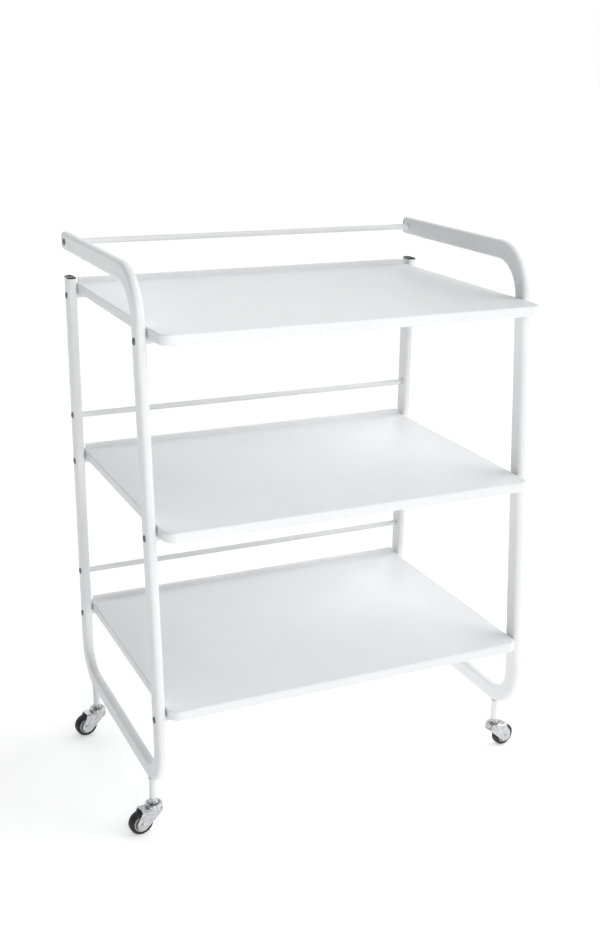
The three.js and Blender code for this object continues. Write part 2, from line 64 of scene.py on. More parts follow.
# Side frames, with their caps and plugs
TUBE_CORNER = 6 * MM
TUBE_LEAST_CORNER = 0.5 * MM
TUBE_CORNER_STEPS = 7
TUBE_WALL = 1.5 * MM
ARM_BEND = 72 * MM
FOOT_BEND = 60 * MM
BEND_STEPS = 20
CAP_ROUNDING = 8 * MM  # in the plane of the frame
CAP_EDGE = 3.5 * MM  # across it
CAP_LEAST_CORNER = 1.5 * MM
CAP_STEPS = 12
PLUG_FLANGE = 2.5 * MM
PLUG_EDGE = 0.9 * MM
PLUG_DISH = 1.4 * MM
PLUG_RIM = 2.6 * MM

# Shelves
SHEET = 1.2 * MM
SHEET_EDGE = 0.3 * MM
SKIRT = 16 * MM
SKIRT_BEND = 2.2 * MM
SKIRT_FOOT_BEND = 0.8 * SKIRT_BEND
RETURN_FLANGE = 12 * MM
FRONT_CORNER = 18 * MM
REAR_CORNER = 4 * MM
TRAY_LEAST_CORNER = 0.8 * MM
TRAY_CORNER_STEPS = 8
TRAY_FLAT = 40 * MM  # how far in the flat faces' innermost ring is
LIP_HEIGHT = 8 * MM
LIP_DEPTH = 10 * MM
LIP_EDGE = 2.4 * MM
LIP_FOOT = 1.2 * MM
LIP_BURIED = 0.3 * MM  # how far its open edge is sunk in the tray
LIP_HEM = 1 * MM  # how far its rear face goes below the tray's bend
LIP_END_EASE = 0.6  # how much its ends draw in, against their length
LIP_END_STEPS = 5
LUG_INSET = 46 * MM
LUG_THICKNESS = 3 * MM
LUG_WIDTH = 20 * MM
LUG_REAR_CORNER = 3 * MM
LUG_FRONT_CORNER = 7 * MM
LUG_EDGE = 0.5 * MM

# Rods and screws
ROD_RADIUS = 5 * MM
ROD_CHAMFER = 0.6 * MM
ROD_BORE = 2.6 * MM
ROD_BORE_DEPTH = 3 * MM
SCREW_SHANK = 2.4 * MM
SCREW_HEAD = 2 * MM
SCREW_RIM = 0.6 * MM
SCREW_STEPS = 8
HEX_SOCKET = 3.6 * MM  # across flats
HEX_LAND = 0.75 * HEX_SOCKET  # radius of the flat round the socket
HEX_DEPTH = 1 * MM
HEX_CONE = 0.4 * MM  # depth of the drilled point below the socket
HEX_LEAD = 0.1 * MM  # width of the lead-in round the socket's mouth
HEX_LEAD_DEPTH = 0.2 * MM

# Caster stems and swivel heads
SOCKET_RADIUS = 6 * MM
SOCKET_BORE = 4.1 * MM
SOCKET_BORE_SHOWN = 4 * MM
SOCKET_SUNK = 1 * MM  # how far the stem goes up into the rail's underside
WELD = 1.2 * MM
WELD_SUNK = 0.2 * MM
KINGPIN_HEAD = 6 * MM
KINGPIN_HEAD_HEIGHT = 2.1 * MM
KINGPIN_RADIUS = 3.4 * MM
NECK_FLARE = 8.2 * MM
NECK_LIFT = 0.6 * MM  # from the race's floor up to the flare
NECK_RISE = 0.8 * MM  # from the race's top up to the flare's edge
NECK_RADIUS = 6.6 * MM
NECK_COLLAR = 2.2 * MM
NECK_TAPER = 0.2 * MM
STUD_RADIUS = 4 * MM

# Forks and race cups
RACE_RADIUS = 14.3 * MM
RACE_FOOT = 0.5 * MM
RACE_FOOT_HEIGHT = 1.6 * MM
RACE_FOOT_TOP = 1.8 * MM
RACE_TOP = 49.8 * MM
RACE_OPENING = 9.8 * MM
RACE_WELL = 2.6 * MM
FORK_SHEET = 2 * MM
FORK_BEND = 3 * MM
FORK_SKIRT = 4 * MM
FORK_EDGE = 0.4 * MM
FORK_SHARP = math.radians(50)  # only sharper edges than this are rounded off
CROWN_FRONT = 14.5 * MM
CROWN_REAR = 24 * MM
CROWN_UNDERSIDE = 42.5 * MM
CHEEK_RADIUS = 10.5 * MM
CHEEK_MIDDLE = 10.5 * MM  # from the wheel's middle to the middle of a cheek's thickness
CHEEK_ROWS = 6
FORK_BEND_STEPS = 5
NOSE_STEPS = 12
CROWN_STEPS = 12
CHEEK_STEPS = 16

# Axles, hubs and tyres
AXLE_SHANK = 3 * MM
AXLE_HEAD = 4.6 * MM
AXLE_DOME = 1.8 * MM
AXLE_HEAD_EDGE = 0.4 * MM
AXLE_STEPS = 7
HUB_WEB = 2.5 * MM
HUB_RIM = 2.4 * MM
HUB_RIM_HALF = 7.4 * MM
HUB_BOSS = 6.2 * MM
HUB_HALF = 8.7 * MM
HUB_BORE = 3.1 * MM
TYRE_HALF_WIDTH = 8 * MM
TYRE_INNER = 14.4 * MM
TYRE_BEAD = (1.2 * MM, 0.4 * MM)  # how high its slope is, and how far it leans in
TYRE_SHOULDER = 2.6 * MM
TYRE_SHOULDER_EASE = (0.4 * MM, 0.3 * MM)  # in from the shoulder down the side, and off the tread
TYRE_PARTING = 0.25 * MM

PROFILE_STEPS = 5  # in each rounded corner of a turned or folded profile
SMOOTH_BELOW = math.radians(32)  # edges flatter than this are shaded smooth
ARC_MIDDLE = 1 - math.sqrt(0.5)  # how far a quarter round of radius 1 has drawn in half-way

SIDES = ("left", "right")
TIERS = ("top", "middle", "bottom")
CORNERS = tuple(f"{end}_{side}" for end in ("front", "rear") for side in SIDES)
RODS = [f"{rail}_rail_rod" for rail in ("top", "middle", "lower")]
RODS += [f"{tier}_shelf_{end}_rod" for tier in TIERS for end in ("front", "rear")]
CART = "cart_frame"
JOINTS = {joint["name"]: joint for joint in frame["joints"]}
ALONG_X = Matrix.Rotation(math.pi / 2, 4, "Y")
ALONG_Y = Matrix.Rotation(-math.pi / 2, 4, "X")


def centre(node):
    """The middle of a CAD node's box."""
    low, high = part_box(node)
    return (low + high) / 2


def size(node):
    """The lengths of a CAD node's box."""
    low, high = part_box(node)
    return high - low


# ---- Materials ----


class Graph:
    """A material's nodes, with short calls for the textures that the finishes share."""

    def __init__(self, name):
        self.material = bpy.data.materials.new(name)
        self.material.use_nodes = True
        self.nodes = self.material.node_tree.nodes
        self.links = self.material.node_tree.links
        self.shader = self.nodes["Principled BSDF"]
        self.coordinates = self.nodes.new("ShaderNodeTexCoord").outputs["Object"]

    def stretched(self, scale):
        """The object's coordinates, scaled along each axis."""
        mapping = self.nodes.new("ShaderNodeMapping")
        mapping.inputs["Scale"].default_value = scale
        self.links.new(self.coordinates, mapping.inputs["Vector"])
        return mapping.outputs["Vector"]

    def noise(self, grain, detail=3.0, stretch=None):
        """Noise whose lumps are about grain metres across."""
        texture = self.nodes.new("ShaderNodeTexNoise")
        texture.inputs["Scale"].default_value = 1 / grain
        texture.inputs["Detail"].default_value = detail
        vector = self.coordinates if stretch is None else self.stretched(stretch)
        self.links.new(vector, texture.inputs["Vector"])
        return texture.outputs["Fac"]

    def between(self, value, low, high):
        """Maps the middle of a noise's range to low..high."""
        remap = self.nodes.new("ShaderNodeMapRange")
        limits = {"From Min": 0.3, "From Max": 0.7, "To Min": low, "To Max": high}
        for socket, number in limits.items():
            remap.inputs[socket].default_value = number
        self.links.new(value, remap.inputs["Value"])
        return remap.outputs["Result"]

    def colours(self, value, *stops):
        """A colour ramp of (position, colour) stops."""
        ramp = self.nodes.new("ShaderNodeValToRGB")
        elements = ramp.color_ramp.elements
        while len(elements) < len(stops):
            elements.new(0.5)
        for element, (position, colour) in zip(elements, stops):
            element.position = position
            element.color = (*colour, 1)
        self.links.new(value, ramp.inputs["Fac"])
        return ramp.outputs["Color"]

    def bump(self, heights):
        """Stacks (value, depth in metres) pairs into one normal."""
        normal = None
        for value, depth in heights:
            bump = self.nodes.new("ShaderNodeBump")
            bump.inputs["Strength"].default_value = 1
            bump.inputs["Distance"].default_value = depth
            self.links.new(value, bump.inputs["Height"])
            if normal is not None:
                self.links.new(normal, bump.inputs["Normal"])
            normal = bump.outputs["Normal"]
        self.links.new(normal, self.shader.inputs["Normal"])

    def finish(self, colour, roughness, **constants):
        """Connects a colour and a roughness, and sets the shader's other sockets to constants."""
        self.links.new(colour, self.shader.inputs["Base Color"])
        self.links.new(roughness, self.shader.inputs["Roughness"])
        for socket, number in constants.items():
            self.shader.inputs[socket.replace("_", " ")].default_value = number
        return self.material


def powder_coat():
    """White powder coat: faint clouds, a slightly uneven gloss and a fine orange peel."""
    g = Graph("powder_coat")
    tone = g.noise(0.09, detail=4)
    colour = g.colours(tone, (0.3, (0.80, 0.806, 0.815)), (0.7, (0.825, 0.83, 0.838)))
    roughness = g.between(g.noise(0.012), 0.34, 0.44)
    g.bump([(g.noise(0.0014, detail=1), 0.00002), (g.noise(0.03, detail=1), 0.00006)])
    return g.finish(colour, roughness, Specular_IOR_Level=0.5)


def white_plastic():
    """The moulded white of the arms' caps."""
    g = Graph("white_plastic")
    colour = g.colours(g.noise(0.02), (0.3, (0.80, 0.803, 0.81)), (0.7, (0.82, 0.825, 0.83)))
    roughness = g.between(g.noise(0.004), 0.42, 0.52)
    g.bump([(g.noise(0.0006, detail=2), 0.00002)])
    return g.finish(colour, roughness)


def black_plastic():
    """The shiny moulded black of the leg plugs."""
    g = Graph("black_plastic")
    colour = g.colours(g.noise(0.006), (0.3, (0.006, 0.006, 0.007)), (0.7, (0.012, 0.012, 0.013)))
    roughness = g.between(g.noise(0.003), 0.22, 0.34)
    g.bump([(g.noise(0.0005, detail=2), 0.00003)])
    return g.finish(colour, roughness, Specular_IOR_Level=0.3)


def dark_steel():
    """The dark blued steel of the screws."""
    g = Graph("dark_steel")
    colour = g.colours(g.noise(0.002), (0.3, (0.12, 0.12, 0.13)), (0.7, (0.22, 0.22, 0.24)))
    roughness = g.between(g.noise(0.001), 0.3, 0.5)
    g.bump([(g.noise(0.0003, detail=2), 0.00001)])
    return g.finish(colour, roughness, Metallic=0.9)


def zinc_plate():
    """Bright zinc on pressed steel: mottled, a little wavy, with drawing lines."""
    g = Graph("zinc_plate")
    colour = g.colours(
        g.noise(0.004, detail=5),
        (0.25, (0.38, 0.39, 0.41)),
        (0.5, (0.56, 0.57, 0.585)),
        (0.75, (0.68, 0.68, 0.675)),
    )
    roughness = g.between(g.noise(0.0025, detail=4), 0.2, 0.42)
    drawn = g.noise(0.0012, detail=2, stretch=(1, 1, 0.12))
    g.bump([(g.noise(0.006, detail=2), 0.00012), (drawn, 0.00003)])
    return g.finish(colour, roughness, Metallic=1.0)


def grey_plastic():
    """The moulded grey of the wheel hubs."""
    g = Graph("grey_plastic")
    colour = g.colours(g.noise(0.005), (0.3, (0.34, 0.355, 0.37)), (0.7, (0.42, 0.435, 0.45)))
    roughness = g.between(g.noise(0.002), 0.38, 0.52)
    g.bump([(g.noise(0.0005, detail=2), 0.00002)])
    return g.finish(colour, roughness)


def tyre_rubber():
    """Near-black rubber with dust in patches."""
    g = Graph("tyre_rubber")
    dust = g.noise(0.007, detail=6)
    colour = g.colours(
        dust,
        (0.35, (0.012, 0.012, 0.013)),
        (0.62, (0.022, 0.022, 0.023)),
        (0.8, (0.06, 0.058, 0.055)),
    )
    roughness = g.between(g.noise(0.002), 0.45, 0.65)
    g.bump([(g.noise(0.0004, detail=3), 0.00005)])
    return g.finish(colour, roughness, Specular_IOR_Level=0.35)


# A finish for each of the record's material slots
FINISHES = {
    "coated_steel": powder_coat(),
    "white_plastic": white_plastic(),
    "black_plastic": black_plastic(),
    "dark_screw": dark_steel(),
    "zinc": zinc_plate(),
    "hub_grey": grey_plastic(),
    "tyre_rubber": tyre_rubber(),
}


# ---- Mesh helpers ----


def placed(name, data):
    """A new object in the scene."""
    made = bpy.data.objects.new(name, data)
    bpy.context.scene.collection.objects.link(made)
    return made


def directions(line):
    """The unit direction along an open polyline at each of its points."""
    last = len(line) - 1
    return [(line[min(i + 1, last)] - line[max(i - 1, 0)]).normalized() for i in range(last + 1)]


def mirrored(half):
    """A half profile of (radius, z, ...) points reversed, on the other side of z = 0."""
    return [(radius, -z, *rest) for radius, z, *rest in reversed(half)]


def rounded(points, steps=6, closed=False):
    """A polyline of (a, b, radius) points, with an arc at each corner that has a radius."""
    line = []
    last = len(points) - 1
    for i, (a, b, radius) in enumerate(points):
        corner = Vector((a, b))
        if radius == 0 or (not closed and i in (0, last)):
            line.append(corner)
            continue
        back = (Vector(points[i - 1][:2]) - corner).normalized()
        on = (Vector(points[(i + 1) % len(points)][:2]) - corner).normalized()
        half = back.angle(on) / 2
        middle = corner + (back + on).normalized() * (radius / math.sin(half))
        start = corner + back * (radius / math.tan(half)) - middle
        end = corner + on * (radius / math.tan(half)) - middle
        turn = math.atan2(start.cross(end), start.dot(end))
        for step in range(steps + 1):
            line.append(middle + Matrix.Rotation(turn * step / steps, 2) @ start)
    return line


def rounded_rectangle(half_a, half_b, radii, steps=6):
    """A closed outline centred on the origin; radii are at (+a+b, -a+b, -a-b, +a-b)."""
    signs = ((1, 1), (-1, 1), (-1, -1), (1, -1))
    corners = [(i * half_a, j * half_b, r) for (i, j), r in zip(signs, radii)]
    return rounded(corners, steps, closed=True)


def bridge(mesh, rings, loop=False, caps=False):
    """Faces between rings of points that match one to one. A ring of one point closes to it."""
    made = [[mesh.verts.new(point) for point in ring] for ring in rings]
    pairs = list(zip(made, made[1:]))
    if loop:
        pairs.append((made[-1], made[0]))
    for below, above in pairs:
        count = max(len(below), len(above))
        for i in range(count):
            j = (i + 1) % count
            low = [below[i % len(below)], below[j % len(below)]]
            high = [above[j % len(above)], above[i % len(above)]]
            mesh.faces.new(list(dict.fromkeys(low + high)))
    if caps:
        mesh.faces.new(made[0])
        mesh.faces.new(made[-1])


def turned(mesh, profile, segments, place=Matrix.Identity(4), loop=False, shape=None):
    """A solid of revolution about +Z of (radius, z) points. shape(i, angle) scales ring i."""
    rings = []
    for i, (radius, z) in enumerate(profile):
        if radius < SAME_POINT:
            rings.append([place @ Vector((0, 0, z))])
            continue
        ring = []
        for step in range(segments):
            angle = 2 * math.pi * step / segments
            r = radius * (shape(i, angle) if shape else 1)
            ring.append(place @ Vector((r * math.cos(angle), r * math.sin(angle), z)))
        rings.append(ring)
    bridge(mesh, rings, loop=loop)


def plate(mesh, outline, thickness, edge, place):
    """A flat plate of an (a, b) outline along its own z, with its edges rounded off."""
    middle = Vector((sum(p.x for p in outline), sum(p.y for p in outline))) / len(outline)
    half = thickness / 2

    def ring(inset, z):
        shrunk = [p - (p - middle).normalized() * inset for p in outline]
        return [place @ Vector((p.x, p.y, z)) for p in shrunk]

    soft = edge * ARC_MIDDLE
    upper = [(0, half - edge), (soft, half - soft), (edge, half)]
    lower = [(inset, -z) for inset, z in reversed(upper)]
    bridge(mesh, [ring(inset, z) for inset, z in lower + upper], caps=True)


def finished(name, mesh, slot, body, stands_for=(), modifiers=()):
    """Turns a bmesh into a piece that rides on a body and stands for CAD nodes."""
    bmesh.ops.remove_doubles(mesh, verts=mesh.verts, dist=SAME_POINT)
    bmesh.ops.recalc_face_normals(mesh, faces=mesh.faces)
    data = bpy.data.meshes.new(name)
    mesh.to_mesh(data)
    mesh.free()
    data.shade_smooth()
    data.set_sharp_from_angle(angle=SMOOTH_BELOW)
    data.materials.append(FINISHES[slot])
    piece = placed(name, data)
    for kind, settings in modifiers:
        modifier = piece.modifiers.new(kind.title(), kind)
        for key, value in settings.items():
            setattr(modifier, key, value)
    normals = piece.modifiers.new("Normals", "WEIGHTED_NORMAL")
    normals.keep_sharp = True
    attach(piece, body)
    if stands_for:
        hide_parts(*stands_for)


# ---- Side frames, with their plugs and caps ----


def tube_outline(inset, half_depth, half_width):
    """The side frame's section, inset by a distance."""
    corners = [max(TUBE_CORNER - inset, TUBE_LEAST_CORNER)] * 4
    return rounded_rectangle(half_depth - inset, half_width - inset, corners, TUBE_CORNER_STEPS)


def frame_path(side):
    """The tube's centre line in (y, z), from the arm's rear end round to the rear leg's top."""
    low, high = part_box(f"{side}_side_frame")
    plug_low, plug_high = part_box(f"{side}_leg_plug")
    half_depth = (plug_high.y - plug_low.y) / 2
    arm_z = high.z - half_depth
    rail_z = low.z + half_depth
    rear_y = (plug_low.y + plug_high.y) / 2
    upper, lower = centre("top_shelf_front_rod"), centre("bottom_shelf_front_rod")
    lean = (upper.y - lower.y) / (upper.z - lower.z)

    def front_y(z):
        return lower.y + (z - lower.z) * lean

    return rounded(
        [
            (high.y, arm_z, 0),
            (front_y(arm_z), arm_z, ARM_BEND),
            (front_y(rail_z), rail_z, FOOT_BEND),
            (rear_y, rail_z, FOOT_BEND),
            (rear_y, plug_high.z - PLUG_FLANGE, 0),
        ],
        BEND_STEPS,
    )


def side_frame(side):
    """One bent tube, open at both ends, swept along the frame's path."""
    line = frame_path(side)
    x = centre(f"{side}_side_frame").x
    half_depth = size(f"{side}_leg_plug").y / 2
    half_width = size(f"{side}_leg_plug").x / 2
    outer, inner = [], []
    for point, along in zip(line, directions(line)):
        across = Vector((-along.y, along.x))
        for rings, inset in ((outer, 0), (inner, TUBE_WALL)):
            ring = []
            for u, w in tube_outline(inset, half_depth, half_width):
                y, z = point + across * u
                ring.append(Vector((x + w, y, z)))
            rings.append(ring)
    mesh = bmesh.new()
    bridge(mesh, outer + inner[::-1], loop=True)
    finished(f"{side}_bent_tube", mesh, "coated_steel", CART, [f"{side}_side_frame"])


def leg_plug(side):
    """A plug with a dished flange on the tube's end."""
    low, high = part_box(f"{side}_leg_plug")
    middle = (low + high) / 2
    half_depth = size(f"{side}_leg_plug").y / 2
    half_width = size(f"{side}_leg_plug").x / 2
    seat = high.z - PLUG_FLANGE + SEAT
    soft = PLUG_EDGE * ARC_MIDDLE
    wall = TUBE_WALL + SLIP
    levels = [
        (wall, low.z),
        (wall, seat),
        (0, seat),
        (0, high.z - PLUG_EDGE),
        (soft, high.z - soft),
        (PLUG_EDGE, high.z),
        (PLUG_RIM, high.z),
        (PLUG_RIM + PLUG_DISH, high.z - PLUG_DISH),
        (2 * PLUG_RIM, high.z - PLUG_DISH),
    ]
    rings = []
    for inset, z in levels:
        outline = tube_outline(inset, half_depth, half_width)
        rings.append([Vector((middle.x + w, middle.y + u, z)) for u, w in outline])
    mesh = bmesh.new()
    bridge(mesh, rings, caps=True)
    finished(f"{side}_plug", mesh, "black_plastic", CART, [f"{side}_leg_plug"])


def arm_cap(side):
    """A blunt end, rounded in the plane of the frame and softened across it."""
    low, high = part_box(f"{side}_arm_cap")
    middle = (low + high) / 2
    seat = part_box(f"{side}_side_frame")[1].y + SLIP
    half_height = size(f"{side}_arm_cap").z / 2
    half_width = size(f"{side}_arm_cap").x / 2

    def ring(y, outline):
        return [Vector((middle.x + w, y, middle.z + u)) for u, w in outline]

    def rounding(radius, from_end):
        """How far an edge of this radius has drawn in at a distance from the cap's end."""
        return radius - math.sqrt(max(radius**2 - max(radius - from_end, 0) ** 2, 0))

    inserted = tube_outline(TUBE_WALL + SLIP, half_height, half_width)
    rings = [ring(low.y, inserted), ring(seat, inserted)]
    for step in range(CAP_STEPS + 1):
        from_end = CAP_ROUNDING * (1 - math.sin(math.pi / 2 * step / CAP_STEPS))
        y = high.y - from_end if step else seat
        drop = rounding(CAP_ROUNDING, high.y - y)
        ease = rounding(CAP_EDGE, high.y - y)
        corners = [max(TUBE_CORNER - ease, CAP_LEAST_CORNER)] * 4
        half_sizes = (half_height - drop, half_width - ease)
        rings.append(ring(y, rounded_rectangle(*half_sizes, corners, TUBE_CORNER_STEPS)))
    mesh = bmesh.new()
    bridge(mesh, rings, caps=True)
    finished(f"{side}_cap", mesh, "white_plastic", CART, [f"{side}_arm_cap"])


# ---- Shelves ----


def shelf_ring(tier, inset, z):
    """The tray's outline inset by a distance, at a height."""
    low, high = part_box(f"{tier}_shelf")
    middle = (low + high) / 2
    front = max(FRONT_CORNER - inset, TRAY_LEAST_CORNER)
    rear = max(REAR_CORNER - inset, TRAY_LEAST_CORNER)
    half_width = (high.x - low.x) / 2 - inset
    half_depth = (high.y - low.y) / 2 - inset
    corners = [rear, rear, front, front]
    outline = rounded_rectangle(half_width, half_depth, corners, TRAY_CORNER_STEPS)
    return [Vector((middle.x + p.x, middle.y + p.y, z)) for p in outline]


def tray_profile():
    """(inset, z) from the upper face, over the bend, down the skirt and back under."""
    bottom = -SKIRT
    corners = [
        (TRAY_FLAT, 0, 0),
        (0, 0, SKIRT_BEND),
        (0, bottom, SKIRT_FOOT_BEND),
        (RETURN_FLANGE, bottom, SHEET_EDGE),
        (RETURN_FLANGE, bottom + SHEET, SHEET_EDGE),
        (SHEET, bottom + SHEET, SKIRT_FOOT_BEND - SHEET / 2),
        (SHEET, -SHEET, SKIRT_BEND - SHEET),
        (TRAY_FLAT, -SHEET, 0),
    ]
    return rounded(corners, PROFILE_STEPS)


def shelf(tier):
    """The folded tray, its flat faces closed over its innermost rings."""
    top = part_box(f"{tier}_shelf")[1].z - LIP_HEIGHT
    mesh = bmesh.new()
    bridge(mesh, [shelf_ring(tier, inset, top + z) for inset, z in tray_profile()], caps=True)
    finished(f"{tier}_tray", mesh, "coated_steel", CART, [f"{tier}_shelf"])


def lip(tier):
    """The folded upstand along the tray's rear edge, with a soft foot where it leaves the tray."""
    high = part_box(f"{tier}_shelf")[1]
    top = high.z - LIP_HEIGHT
    half = size(f"{tier}_shelf").x / 2 - REAR_CORNER
    front = high.y - LIP_DEPTH
    rear = high.y + PROUD
    foot = top + LIP_LIFT
    buried = top - LIP_BURIED
    hem = top - SKIRT_BEND - LIP_HEM
    section = rounded(
        [
            (front - LIP_FOOT, buried, 0),
            (front - LIP_FOOT, foot, 0),
            (front, foot, LIP_FOOT),
            (front, high.z, LIP_EDGE),
            (rear, high.z, LIP_EDGE),
            (rear, hem, 0),
            (rear - SHEET / 2, hem, 0),
            (rear - SHEET, buried, 0),
        ],
        PROFILE_STEPS,
    )
    rings = []
    for sign in (-1, 1):
        ends = []
        for step in range(LIP_END_STEPS + 1):
            angle = math.pi / 2 * step / LIP_END_STEPS
            inset = LIP_EDGE * (1 - math.cos(angle)) * LIP_END_EASE
            x = sign * (half - LIP_EDGE + LIP_EDGE * math.sin(angle))
            ring = []
            for y, z in section:
                y = max(min(y, rear - inset), front - LIP_FOOT + inset)
                z = min(z, high.z - inset)
                ring.append(Vector((x, y, z)))
            ends.append(ring)
        rings += ends[::-1] if sign < 0 else ends
    mesh = bmesh.new()
    bridge(mesh, rings, caps=True)
    finished(f"{tier}_lip", mesh, "coated_steel", CART, [f"{tier}_shelf"])


def lugs(tier):
    """The four plates under the tray that the cross rods pass through."""
    low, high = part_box(f"{tier}_shelf")
    top = high.z - LIP_HEIGHT
    for end in ("front", "rear"):
        rod = centre(f"{tier}_shelf_{end}_rod")
        rear = min(rod.y + LUG_WIDTH / 2, high.y - SHEET)
        front = rod.y - LUG_WIDTH / 2
        outline = rounded(
            [
                (rear, top - SHEET / 2, 0),
                (rear, low.z, LUG_REAR_CORNER),
                (front, low.z, LUG_FRONT_CORNER),
                (front, top - SHEET / 2, 0),
            ],
            closed=True,
        )
        for side, sign in zip(SIDES, (-1, 1)):
            x = sign * (high.x - LUG_INSET)
            place = Matrix(((0, 0, 1, x), (1, 0, 0, 0), (0, 1, 0, 0), (0, 0, 0, 1)))
            mesh = bmesh.new()
            plate(mesh, outline, LUG_THICKNESS, LUG_EDGE, place)
            finished(f"{tier}_{end}_{side}_lug", mesh, "coated_steel", CART)


# ---- Cross rods and screws ----


def cross_rod(name):
    """A round bar with chamfered ends, drilled for its screws."""
    end = size(name).x / 2
    half = [
        (ROD_RADIUS, end - ROD_CHAMFER),
        (ROD_RADIUS - ROD_CHAMFER, end),
        (ROD_BORE, end),
        (ROD_BORE, end - ROD_BORE_DEPTH),
        (0, end - ROD_BORE_DEPTH),
    ]
    mesh = bmesh.new()
    turned(mesh, mirrored(half) + half, 36, Matrix.Translation(centre(name)) @ ALONG_X)
    finished(f"{name}_bar", mesh, "coated_steel", CART, [name])


def hexagon(angle):
    """How much further out a hexagon's edge is than its flats."""
    return 1 / math.cos((angle + math.pi / 6) % (math.pi / 3) - math.pi / 6)


def screw(side, rod):
    """A button head on the tube's outer face, with a hexagon socket, and its shank."""
    node = f"{side}_{rod.replace('_rod', '_screw')}"
    low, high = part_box(node)
    outward = -1 if side == "left" else 1
    inner, outer = sorted((abs(low.x), abs(high.x)))
    seat = outer - SCREW_HEAD
    radius = (high.z - low.z) / 2
    profile = [(0, inner - seat), (SCREW_SHANK, inner - seat), (SCREW_SHANK, SEAT), (radius, SEAT)]
    for step in range(SCREW_STEPS + 1):
        angle = math.pi / 2 * step / SCREW_STEPS
        across = HEX_LAND + (radius - HEX_LAND) * math.cos(angle)
        profile.append((across, SCREW_RIM + (SCREW_HEAD - SCREW_RIM) * math.sin(angle)))
    round_rings = len(profile)
    flat = HEX_SOCKET / 2
    profile += [(flat + HEX_LEAD, SCREW_HEAD), (flat, SCREW_HEAD - HEX_LEAD_DEPTH)]
    profile += [(flat, SCREW_HEAD - HEX_DEPTH), (0, SCREW_HEAD - HEX_DEPTH - HEX_CONE)]

    def shape(i, angle):
        return hexagon(angle) if i >= round_rings else 1

    turn = Matrix.Rotation(math.pi / 2 * outward, 4, "Y")
    place = Matrix.Translation((outward * seat, centre(node).y, centre(node).z)) @ turn
    mesh = bmesh.new()
    turned(mesh, profile, 36, place, shape=shape)
    finished(f"{node}_head", mesh, "dark_screw", CART, [node])


# ---- Casters ----


def caster_frames(corner):
    """Where a caster's pieces go: the still place on its swivel axis, the same turned so that the
    wheel trails along +X, how far behind the wheel trails, and its axle's height."""
    place = Vector(JOINTS[f"{corner}_swivel_turn"]["pos_m"])
    axle = JOINTS[f"{corner}_wheel_spin"]
    heading = math.atan2(-axle["axis"][0], axle["axis"][1])
    still = Matrix.Translation((place.x, place.y, 0))
    trail = (Vector(axle["pos_m"][:2]) - place.to_2d()).length
    return still, still @ Matrix.Rotation(heading, 4, "Z"), trail, axle["pos_m"][2]


def socket_tube(corner, still):
    """The stem that the caster plugs into, welded to the bottom rail."""
    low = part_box(f"{corner}_socket_tube")[0]
    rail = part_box("left_side_frame")[0].z
    profile = rounded(
        [
            (SOCKET_BORE, low.z + SOCKET_BORE_SHOWN, 0),
            (SOCKET_BORE, low.z, 0.4 * MM),
            (SOCKET_RADIUS, low.z, 0.7 * MM),
            (SOCKET_RADIUS, rail - WELD, WELD),
            (SOCKET_RADIUS + WELD, rail + WELD_SUNK, 0),
            (SOCKET_RADIUS + WELD, rail + SOCKET_SUNK, 0),
            (SOCKET_BORE, rail + SOCKET_SUNK, 0),
        ],
        PROFILE_STEPS,
    )
    mesh = bmesh.new()
    turned(mesh, profile, 40, still, loop=True)
    finished(f"{corner}_stem", mesh, "coated_steel", CART, [f"{corner}_socket_tube"])


def swivel_head(corner, still):
    """The kingpin's rivet, its flared neck in the race's opening, and the stud up in the stem."""
    low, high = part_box(f"{corner}_swivel_head")
    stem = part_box(f"{corner}_socket_tube")[0].z
    rivet_top = low.z + KINGPIN_HEAD_HEIGHT
    well = RACE_TOP - RACE_WELL + NECK_LIFT
    profile = rounded(
        [
            (0, low.z, 0),
            (KINGPIN_HEAD, low.z, 1.2 * MM),
            (KINGPIN_HEAD, rivet_top, 0.2 * MM),
            (KINGPIN_RADIUS, rivet_top, 0),
            (KINGPIN_RADIUS, well, 0),
            (NECK_FLARE, well, 0.4 * MM),
            (NECK_FLARE, RACE_TOP + NECK_RISE, 1.2 * MM),
            (NECK_RADIUS, stem - NECK_COLLAR, 3 * MM),
            (NECK_RADIUS - NECK_TAPER, stem - SEAT, 0.3 * MM),
            (STUD_RADIUS, stem - SEAT, 0),
            (STUD_RADIUS, high.z, 0.5 * MM),
            (0, high.z, 0),
        ],
        PROFILE_STEPS,
    )
    mesh = bmesh.new()
    turned(mesh, profile, 40, still)
    finished(f"{corner}_neck", mesh, "zinc", CART, [f"{corner}_swivel_head"])


def race_cup(corner, swivelled):
    """The pressed housing of the ball race on top of the fork, open round the neck."""
    base = CROWN_UNDERSIDE + FORK_SHEET / 2
    foot = RACE_RADIUS + RACE_FOOT
    profile = rounded(
        [
            (0, base, 0),
            (foot, base, 0),
            (foot, base + RACE_FOOT_HEIGHT, 0.5 * MM),
            (RACE_RADIUS, base + RACE_FOOT_TOP, 0.6 * MM),
            (RACE_RADIUS, RACE_TOP, 2.6 * MM),
            (RACE_OPENING, RACE_TOP, 0.7 * MM),
            (RACE_OPENING, RACE_TOP - RACE_WELL, 0),
            (0, RACE_TOP - RACE_WELL, 0),
        ],
        PROFILE_STEPS,
    )
    mesh = bmesh.new()
    turned(mesh, profile, 48, swivelled)
    finished(f"{corner}_race_cup", mesh, "zinc", f"{corner}_swivel")


def tangent_point(point, middle, radius, side):
    """Where a line from a point touches a circle, on its left (+1) or right (-1)."""
    reach = middle - point
    angle = math.atan2(reach.y, reach.x) + side * math.asin(radius / reach.length)
    length = math.sqrt(reach.length**2 - radius**2)
    return point + Vector((math.cos(angle), math.sin(angle))) * length


